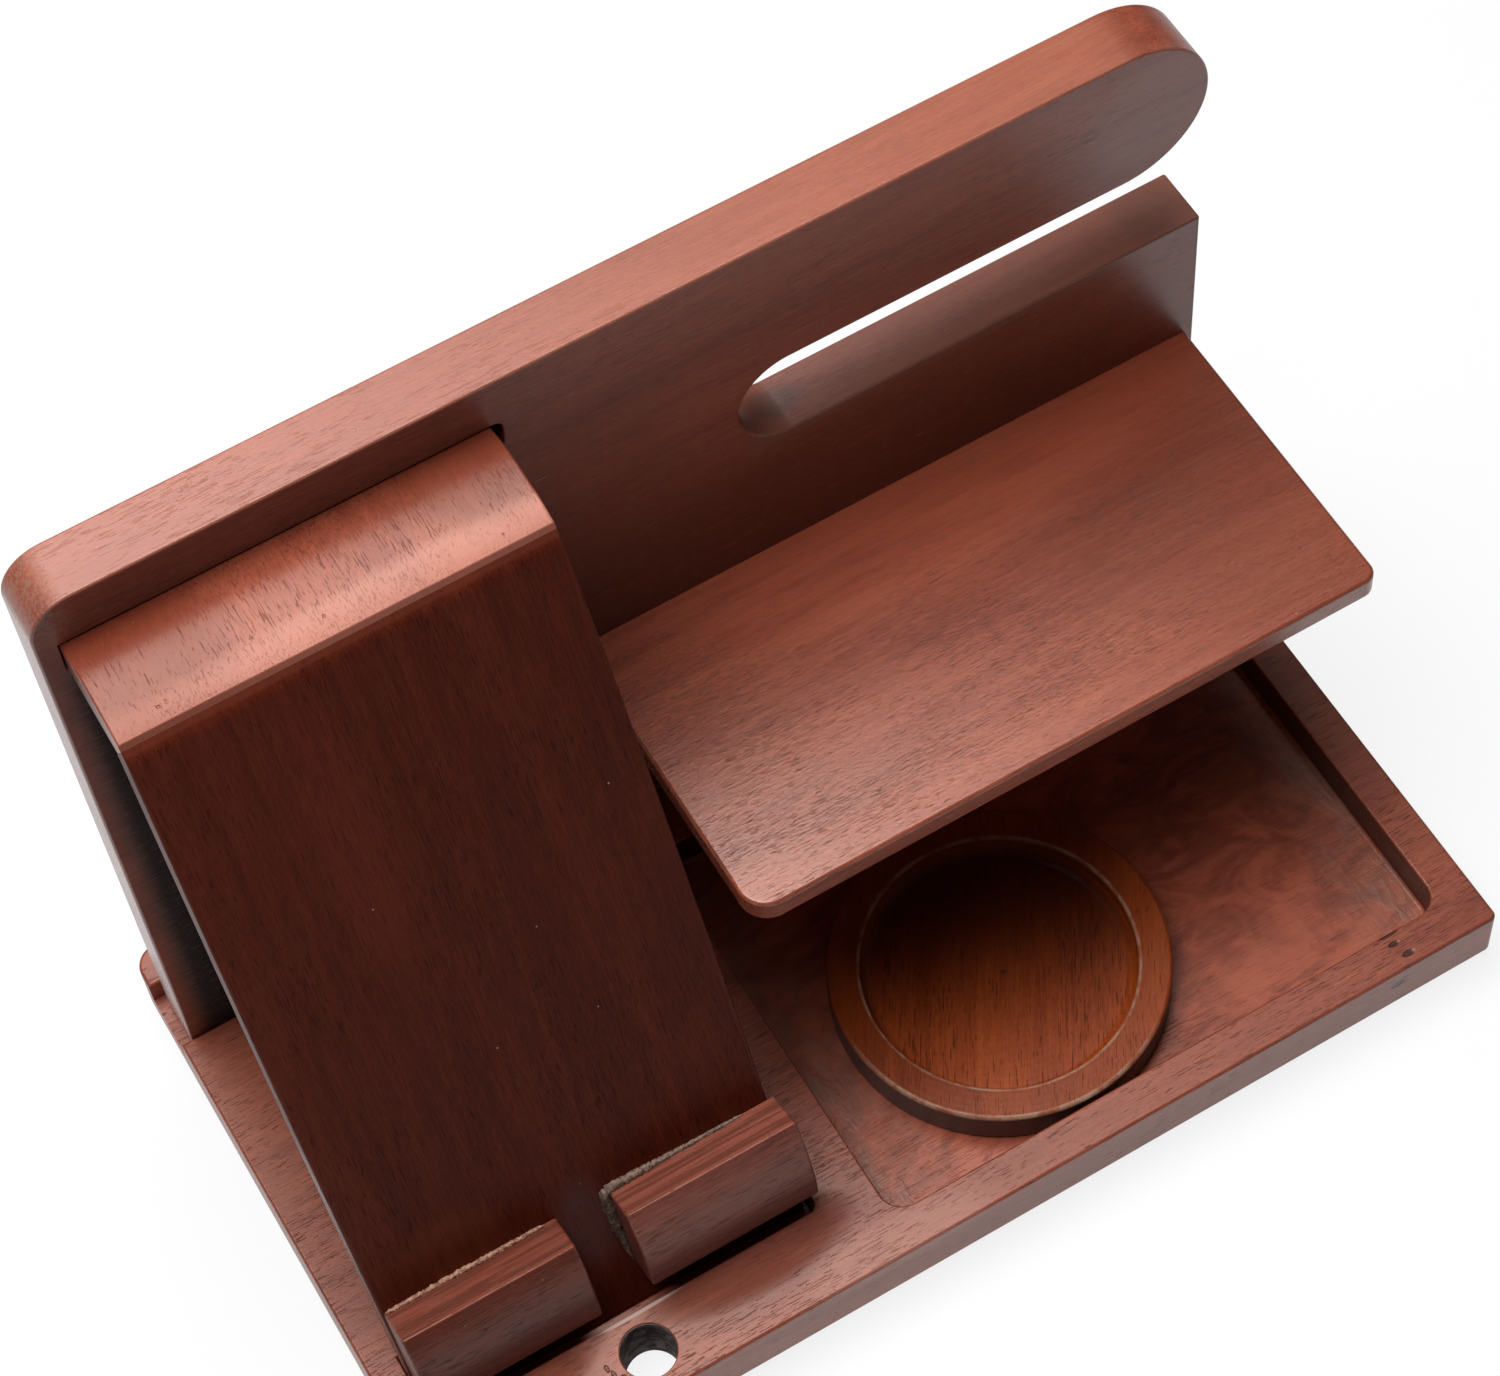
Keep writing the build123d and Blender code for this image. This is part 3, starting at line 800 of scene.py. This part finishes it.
def side_gloss(tree, place, rough):
    """Smoother varnish on the two sides of the rest, in their lower half."""
    x, _, z = split(tree, place)
    half = (REST[1] - REST[0]) / 2 * MM
    away = sums(tree, "ABSOLUTE", sums(tree, "SUBTRACT", x, (REST[0] + REST[1]) / 2 * MM), 0.0)
    side = span(tree, away, half - 0.0004, half - 0.0001)
    smooth = times(tree, side, span(tree, z, 0.055, 0.085, 1.0, 0.15))
    return times(tree, rough, span(tree, smooth, 0.0, 1.0, 1.0, 0.5))


def slope_details_and_painted_light(tree, place, turn, shade, rough, height):
    """Smooth sides, and painted light on the bevel under the cap."""
    z = split(tree, place)[2]
    # painted light on the bevel under the cap
    bevel = span(tree, z, 0.1634, 0.1640)
    shade = tinted(tree, shade, bevel, 0.45, (0.13, 0.030, 0.016))
    return shade, side_gloss(tree, place, rough), height


def cap_details_and_painted_light(tree, place, turn, shade, rough, height):
    """Smooth sides, a painted highlight in front, painted shade behind and on the bevel below the
    ridge.
    """
    y = split(tree, place)[1]
    # painted highlight on the front of the crown
    shade = tinted(tree, shade, fade(tree, y, 0.0245, 0.0300), 0.40, (0.40, 0.125, 0.082))
    # painted shade on the back of the crown
    shade = tinted(tree, shade, span(tree, y, 0.027, 0.040), 0.42, (0.125, 0.022, 0.010))
    # painted shade on the bevel below the ridge
    bevel = fade(tree, y, 0.0226, 0.0229)
    shade = tinted(tree, shade, bevel, 0.7, (0.11, 0.034, 0.023))
    return shade, side_gloss(tree, place, rough), height


def lip_finish(tree, place, turn, shade, rough, height):
    """Lighter ledge with dark stripes above the ridge line, duller nose towards its foot."""
    up = (0.0, math.sin(LEAN), math.cos(LEAN))
    moved = vectors(tree, "SUBTRACT", place, (0.0, REST_FRONT * MM, TOP * MM))
    climb = reach_along(tree, moved, up)
    ledge = span(tree, climb, 0.0221, 0.0224)
    low = fade(tree, climb, 0.000, 0.020)
    stripe = grain_noise(tree, turn, (26, 900, 900), 77.0, 3.0, 0.6)
    shade = tinted(tree, shade, low, 0.35, (0.075, 0.038, 0.035))
    shade = tinted(tree, shade, ledge, 0.48, (0.31, 0.090, 0.055))
    dark = times(tree, ledge, fade(tree, stripe, 0.44, 0.58))
    return tinted(tree, shade, dark, 0.52, (0.05, 0.010, 0.006)), rough, height


def tray_finish(tree, place, turn, shade, rough, height):
    """Milled tray floor: curly red figure, warm scuffs near the walls, chatter."""
    x, y, z = split(tree, place)
    inside = times(tree, fade(tree, z, 0.0085, 0.0125), in_tray(tree, x, y))
    curl = grain_noise(tree, turn, (45, 75, 75), 31.0, 3.0, 0.6, 2.2)
    curly = blend_colours(tree, span(tree, curl, 0.35, 0.66), (0.21, 0.036, 0.017),
                          (0.49, 0.108, 0.052))
    shade = tinted(tree, shade, inside, 0.6, curly)
    left = fade(tree, x, -0.017, 0.006)
    right = span(tree, x, 0.092, 0.110)
    smear = grain_noise(tree, place, (160, 90, 90), 37.0, 4.0, 0.65, 0.8)
    scuff = times(tree, sums(tree, "MAXIMUM", left, right), inside)
    scuff = times(tree, scuff, span(tree, smear, 0.38, 0.62, 0.35, 1.0))
    shade = tinted(tree, shade, scuff, 0.62, GREY)
    chatter = grain_noise(tree, place, (900, 260, 260), 41.0, 2.0, 0.5, 0.5)
    height = sums(tree, "MULTIPLY_ADD", times(tree, chatter, scuff), 2.6, height)
    rough = sums(tree, "MULTIPLY_ADD", scuff, 0.08, rough)
    return shade, rough, height


def dish_rings_and_painted_light(tree, place, turn, shade, rough, height):
    """Turning rings, painted shade across the recess, darker rim and outside, pale edges partly
    worn and partly a painted highlight.
    """
    middle = (DISH_CENTRE[0] * MM, DISH_CENTRE[1] * MM, 0.0)
    moved = vectors(tree, "SUBTRACT", place, middle)
    far = length(tree, vectors(tree, "MULTIPLY", moved, (1.0, 1.0, 0.0)))
    wave = sums(tree, "SINE", times(tree, far, 4100.0), 0.0)
    z = split(tree, place)[2]
    shift = reach_along(tree, moved, (0.45, 0.89, 0.0))
    # painted shade across the recess floor, darker towards the back right
    floor = times(tree, fade(tree, z, 0.0104, 0.0125),
                  fade(tree, far, 0.0283, 0.0287))
    shade = tinted(tree, shade, times(tree, floor, span(tree, shift, -0.020, 0.022)), 0.80,
                   (0.030, 0.005, 0.002))
    rim = times(tree, span(tree, far, 0.0280, 0.0284), span(tree, z, 0.0146, 0.0149))
    shade = tinted(tree, shade, rim, 0.45, (0.15, 0.026, 0.008))
    outside = times(tree, span(tree, far, 0.0343, 0.0346), fade(tree, z, 0.0143, 0.0147))
    shade = tinted(tree, shade, outside, 0.90, (0.080, 0.064, 0.066))
    # pale edges: partly wear, partly a painted highlight, which on the outer edge lies only at the
    # front left
    wear_and_glint = grain_noise(tree, place, (260, 260, 260), 67.0, 3.0, 0.6)
    edge = times(tree, band(tree, far, 0.0278, 0.0286, 0.0003), span(tree, z, 0.0140, 0.0146))
    front = times(tree, band(tree, far, 0.0341, 0.0350, 0.0003), span(tree, z, 0.0142, 0.0147))
    front = times(tree, front, fade(tree, shift, -0.030, -0.010))
    edge = times(tree, sums(tree, "MAXIMUM", edge, front), span(tree, wear_and_glint, 0.36, 0.60, 0.25, 1.0))
    shade = tinted(tree, shade, edge, 0.62, PALE)
    return shade, rough, sums(tree, "MULTIPLY_ADD", wave, 0.045, height)


def dried_glue(name, light, dark):
    """Crumbly dried glue, stained unevenly."""
    material, tree, shader, place = new_material(name)
    crumb = grain_noise(tree, place, (1300, 1300, 1300), 9.0, 4.0, 0.7)
    shade = blend_colours(tree, span(tree, crumb, 0.38, 0.62), dark, light)
    tree.links.new(shade, shader.inputs["Base Color"])
    tree.links.new(span(tree, crumb, 0.3, 0.7, 0.40, 0.75), shader.inputs["Roughness"])
    bump = add(tree, "Bump", {"Height": crumb, "Strength": 0.7, "Distance": 0.0003})
    tree.links.new(bump.outputs[0], shader.inputs["Normal"])
    return material


def soft_rubber(name):
    """Dark rubber with a fine matt texture."""
    material, tree, shader, place = new_material(name)
    speck = grain_noise(tree, place, (2200, 2200, 2200), 5.0, 3.0)
    shade = blend_colours(tree, speck, (0.018, 0.018, 0.019), (0.04, 0.04, 0.042))
    tree.links.new(shade, shader.inputs["Base Color"])
    tree.links.new(span(tree, speck, 0.3, 0.7, 0.55, 0.8), shader.inputs["Roughness"])
    bump = add(tree, "Bump", {"Height": speck, "Strength": 0.4, "Distance": 0.0001})
    tree.links.new(bump.outputs[0], shader.inputs["Normal"])
    return material


def make_camera():
    """The camera that took the photograph, without shift."""
    data = bpy.data.cameras.new("camera")
    data.sensor_width = SENSOR
    data.lens = FOCAL_PIXELS / IMAGE_WIDTH * SENSOR
    data.clip_start, data.clip_end = 0.01, 10.0
    camera = bpy.data.objects.new("camera", data)
    bpy.context.collection.objects.link(camera)
    back = CAMERA_RIGHT.cross(CAMERA_UP)
    turn = Matrix((CAMERA_RIGHT, CAMERA_UP, back)).transposed()
    camera.matrix_world = Matrix.Translation(CAMERA_PLACE) @ turn.to_4x4()
    bpy.context.scene.camera = camera


def make_world():
    """Dim even surroundings: the softbox does most of the lighting."""
    world = bpy.data.worlds.new("studio")
    world.use_nodes = True
    surround = world.node_tree.nodes["Background"]
    surround.inputs["Color"].default_value = (1.0, 0.98, 0.96, 1)
    surround.inputs["Strength"].default_value = WORLD_LEVEL
    bpy.context.scene.world = world


def make_lamp(name, place, target, size, power):
    """Softbox at a place, turned to a target, in metres and watts."""
    data = bpy.data.lights.new(name, "AREA")
    data.shape = "RECTANGLE"
    data.size, data.size_y = size
    data.energy = power
    lamp = bpy.data.objects.new(name, data)
    bpy.context.collection.objects.link(lamp)
    lamp.location = place
    lamp.rotation_euler = (Vector(target) - Vector(place)).to_track_quat("-Z", "Y").to_euler()


def make_floor():
    """Plain white floor, a light table near the object for what is seen of it.

    Camera and glossy rays see it white, less a part that keeps the shadow; the
    white fades out with distance from the object, so far gloss stays dark.
    """
    mesh = bpy.data.meshes.new("floor")
    h = FLOOR_HALF
    mesh.from_pydata([(-h, -h, 0), (h, -h, 0), (h, h, 0), (-h, h, 0)], [], [(0, 1, 2, 3)])
    floor = bpy.data.objects.new("floor", mesh)
    bpy.context.collection.objects.link(floor)
    paint, tree, shader, place = new_material("floor_paint")
    shader.inputs["Base Color"].default_value = (0.92, 0.92, 0.92, 1)
    shader.inputs["Roughness"].default_value = 0.9
    shader.inputs["Specular IOR Level"].default_value = 0.2
    glow = add(tree, "Emission", {"Color": (1, 1, 1, 1)})
    ray = add(tree, "LightPath").outputs
    near = fade(tree, length(tree, place), FLOOR_NEAR, FLOOR_FAR)
    seen = sums(tree, "MAXIMUM", ray["Is Camera Ray"], times(tree, ray["Is Glossy Ray"], near))
    share = times(tree, seen, FLOOR_WHITE)
    mix = add(tree, "MixShader", {0: share, 1: shader.outputs[0], 2: glow.outputs[0]})
    tree.links.new(mix.outputs[0], tree.nodes["Material Output"].inputs[0])
    mesh.materials.append(paint)


make_camera()
make_world()
make_floor()
make_lamp("softbox", place=(-0.13, 0.18, 0.80), target=(-0.05, 0.05, 0.05),
          size=(0.68, 0.60), power=10.2)
bpy.context.scene.view_settings.view_transform = "Standard"

finishes = {
    "base_plate": stained_wood(
        "base_stain_and_painted_light", (0.252, 0.060, 0.033), seed=1.0, dust=0.6, extra=base_details_and_painted_shade,
        marks=[((98.9, -61.15, 16.0), (3.0, 0.6, 1.2), BLACK, 0.9, 3.0),
               ((98.7, -63.4, 16.0), (1.5, 0.7, 1.2), BLACK, 0.9, 3.0),
               ((100.0, -66.6, 16.0), (1.7, 0.8, 1.2), BLACK, 0.95, 3.0),
               ((96.1, -69.3, 11.2), (2.2, 1.4, 1.8), BLACK, 0.9, 3.0),
               ((-80.1, -59.4, 16.0), (0.5, 1.0, 1.2), BLACK, 0.9, 3.0),
               ((-79.5, -61.1, 16.0), (0.5, 1.1, 1.2), BLACK, 0.9, 3.0),
               ((-78.3, -62.4, 16.0), (0.9, 0.5, 1.2), BLACK, 0.9, 3.0),
               # painted shadow on the top in front of the two lips
               ((-45.0, -55.0, 16.0), (32.0, 13.0, 4.0), (0.10, 0.018, 0.008), 0.75, 0.0),
               ((-96.0, -55.0, 16.0), (22.0, 11.0, 4.0), (0.10, 0.018, 0.008), 0.65, 0.0),
               # painted highlight along the front edge, right of the cable hole
               ((-19.0, -67.0, 16.0), (26.0, 8.0, 5.0), (0.38, 0.165, 0.125), 0.45, 0.0),
               # painted light on the rounded right end of the foot slot
               ((-28.7, -49.5, 13.0), (1.2, 3.0, 4.0), PALE, 0.8, 0.0),
               ((-69.8, -52.4, 15.9), (12.0, 0.75, 0.6), (0.45, 0.33, 0.29), 0.75, 0.0)]),
    "panel_board": stained_wood(
        "panel_stain_and_painted_light", (0.228, 0.053, 0.029), seed=23.0, pores=0.55, tint=(1.0, 0.96, 0.97),
        extra=panel_details_and_painted_light,
        # painted shade across the face around the shelf, and right of the rest
        marks=[((25.0, 45.75, 93.0), (110.0, 4.0, 34.0), (0.085, 0.018, 0.009), 0.75, 0.0),
               ((-14.0, 45.75, 128.0), (28.0, 4.0, 34.0), (0.13, 0.030, 0.018), 0.40, 0.0),
               # painted sheen on the face at the arm's end
               ((110.0, 45.75, 160.0), (20.0, 4.0, 20.0), (0.34, 0.20, 0.18), 0.35, 0.0),
               ((113.4, 45.5, 177.8), (2.6, 0.7, 0.9), BLACK, 0.8, 3.0),
               ((105.3, 45.5, 177.8), (1.2, 0.6, 0.7), BLACK, 0.8, 3.0),
               ((-22.3, 45.75, 143.3), (2.0, 0.5, 0.16), PALE, 0.8, 0.0),
               ((26.4, 52.3, 119.6), (10.0, 4.5, 2.0), (0.045, 0.03, 0.027), 0.75, 0.0),
               ((111.4, 53.1, 119.6), (9.0, 9.0, 2.0), (0.09, 0.03, 0.02), 0.5, 0.0)]),
    # the slope's stain is much darker than the cap's: partly its own colour, partly painted shade
    "slope_board": stained_wood(
        "slope_stain_and_painted_light", (0.087, 0.0138, 0.0064), grain=(LEAN - QUARTER, 0.0, -QUARTER), seed=41.0,
        shine=0.46, gloss=0.09, figure=0.9, pores=0.8, dust=0.8, extra=slope_details_and_painted_light,
        marks=[((-84.0, 6.0, 131.0), (8.0, 26.0, 60.0), (0.16, 0.024, 0.011), 0.24, 0.0),
               # painted amber glow on the slope above the left lip
               ((-97.0, -33.0, 43.0), (13.0, 6.0, 11.0), (0.17, 0.045, 0.012), 0.24, 0.0),
               # painted bluish sheen on the slope between the lips
               ((-70.5, -38.0, 32.0), (6.5, 9.0, 17.0), (0.085, 0.045, 0.045), 0.40, 0.0)]),
    "ridge_cap": stained_wood(
        "cap_stain_and_painted_light", (0.256, 0.061, 0.033), grain=(0.0, 0.0, QUARTER), seed=57.0, shine=0.31,
        gloss=0.40, figure=0.9, dashes=(210, 3600), extra=cap_details_and_painted_light,
        # painted shade at the back of the cap's left end
        marks=[((-110.0, 33.0, 167.0), (26.0, 30.0, 12.0), (0.135, 0.024, 0.010), 0.60, 0.0),
               # painted highlight along the front of the crown
               ((-50.0, 25.0, 167.0), (62.0, 6.0, 12.0), (0.46, 0.20, 0.150), 0.50, 0.0),
               # painted shade at the back of the cap's right end
               ((-36.0, 40.0, 167.0), (24.0, 15.0, 12.0), (0.10, 0.020, 0.009), 0.65, 0.0),
               ((-72.3, 26.4, 167.0), (0.4, 0.45, 1.5), BLACK, 0.55, 3.0),
               ((-104.2, 25.5, 166.8), (0.45, 0.4, 1.5), BLACK, 0.55, 3.0),
               ((-38.5, 24.8, 167.0), (0.35, 0.4, 1.5), BLACK, 0.5, 3.0)]),
    "lip_left": stained_wood(
        "left_lip_stain", (0.130, 0.021, 0.009), seed=63.0, shine=0.36, streaks=1.7,
        extra=lip_finish),
    "lip_right": stained_wood(
        "right_lip_stain", (0.178, 0.046, 0.032), seed=71.0, shine=0.36, streaks=1.6,
        extra=lip_finish),
    "shelf_board": stained_wood(
        "shelf_stain_and_painted_light", (0.265, 0.060, 0.031), seed=83.0, shine=0.27, gloss=0.85, pores=1.15,
        dashes=(300, 4600),
        # painted shade over the right part of the shelf
        marks=[((112.0, 20.0, 83.4), (62.0, 60.0, 12.0), (0.14, 0.029, 0.013), 0.42, 0.0),
               # painted light over the back of the shelf, where the panel shades it
               ((52.0, 44.0, 83.4), (90.0, 26.0, 12.0), (0.42, 0.085, 0.040), 0.50, 0.0)]),
    "turned_dish": stained_wood(
        "dish_stain_and_painted_light", (0.305, 0.053, 0.0095), grain=(0.0, 0.0, -1.02), seed=97.0, shine=0.32,
        gloss=0.22, extra=dish_rings_and_painted_light,
        marks=[((51.6, -40.5, 15.2), (1.4, 0.8, 0.9), PALE, 0.8, 1.0),
               ((28.5, -59.1, 15.2), (1.3, 0.6, 0.8), PALE, 0.8, 1.0),
               ((30.8, -25.0, 10.2), (1.0, 0.8, 0.6), BLACK, 0.5, 1.0)]),
    "round_pads": soft_rubber("pad_rubber"),
    "glue_left": dried_glue("pale_glue", (0.55, 0.30, 0.20), (0.20, 0.07, 0.04)),
    "glue_right": dried_glue("grey_glue", (0.27, 0.17, 0.12), (0.08, 0.045, 0.033)),
}
LEFT_BEAD = [(LIP_LEFT + 0.2, 22.6, 0.4), (LIP_LEFT + 34.5, 22.7, 0.4)]
RIGHT_BEAD = [(LIP_RIGHT + 30.0, 22.6, 0.3), (LIP_RIGHT + 1.0, 22.8, 0.4),
              (LIP_RIGHT - 0.7, 22.0, 0.4), (LIP_RIGHT - 0.7, 14.0, 0.4),
              (LIP_RIGHT - 0.2, 3.0, 0.3)]
# each piece with its body, its material slot and the nodes that it replaces
pieces = [
    (make_base(), "base", "base_wood", ["base_board"]),
    (make_pads(), "base", "pad_rubber", ["foot_pads"]),
    (make_panel(), "upright", "panel_wood", ["back_panel"]),
    (make_slope(), "upright", "rest_wood", ["rest_board"]),
    (make_cap(), "upright", "cap_wood", ["rest_cap"]),
    (make_lip("lip_left", LIP_LEFT), "upright", "lip_wood", ["left_lip"]),
    (make_lip("lip_right", LIP_RIGHT), "upright", "lip_wood", ["right_lip"]),
    (make_bead("glue_left", LEFT_BEAD, wide=(0.30, 0.42, 0.50, 0.38, 0.30),
               tall=(0.5, 0.6, 0.7, 0.6, 0.4), seed=3), "upright", "lip_wood", []),
    (make_bead("glue_right", RIGHT_BEAD, wide=(0.3, 0.4, 0.5, 0.9, 1.3, 1.0, 0.4),
               tall=(0.4, 0.5, 0.6, 1.0, 1.0, 0.8, 0.5), seed=8), "upright", "lip_wood", []),
    (make_shelf(), "shelf", "shelf_wood", ["watch_shelf"]),
    (make_dish(), "dish", "dish_wood", ["coin_dish"]),
]
for piece, body, slot, nodes in pieces:
    piece.data.materials.append(finishes[piece.name])
    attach(piece, body)
    if nodes:
        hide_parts(*nodes)
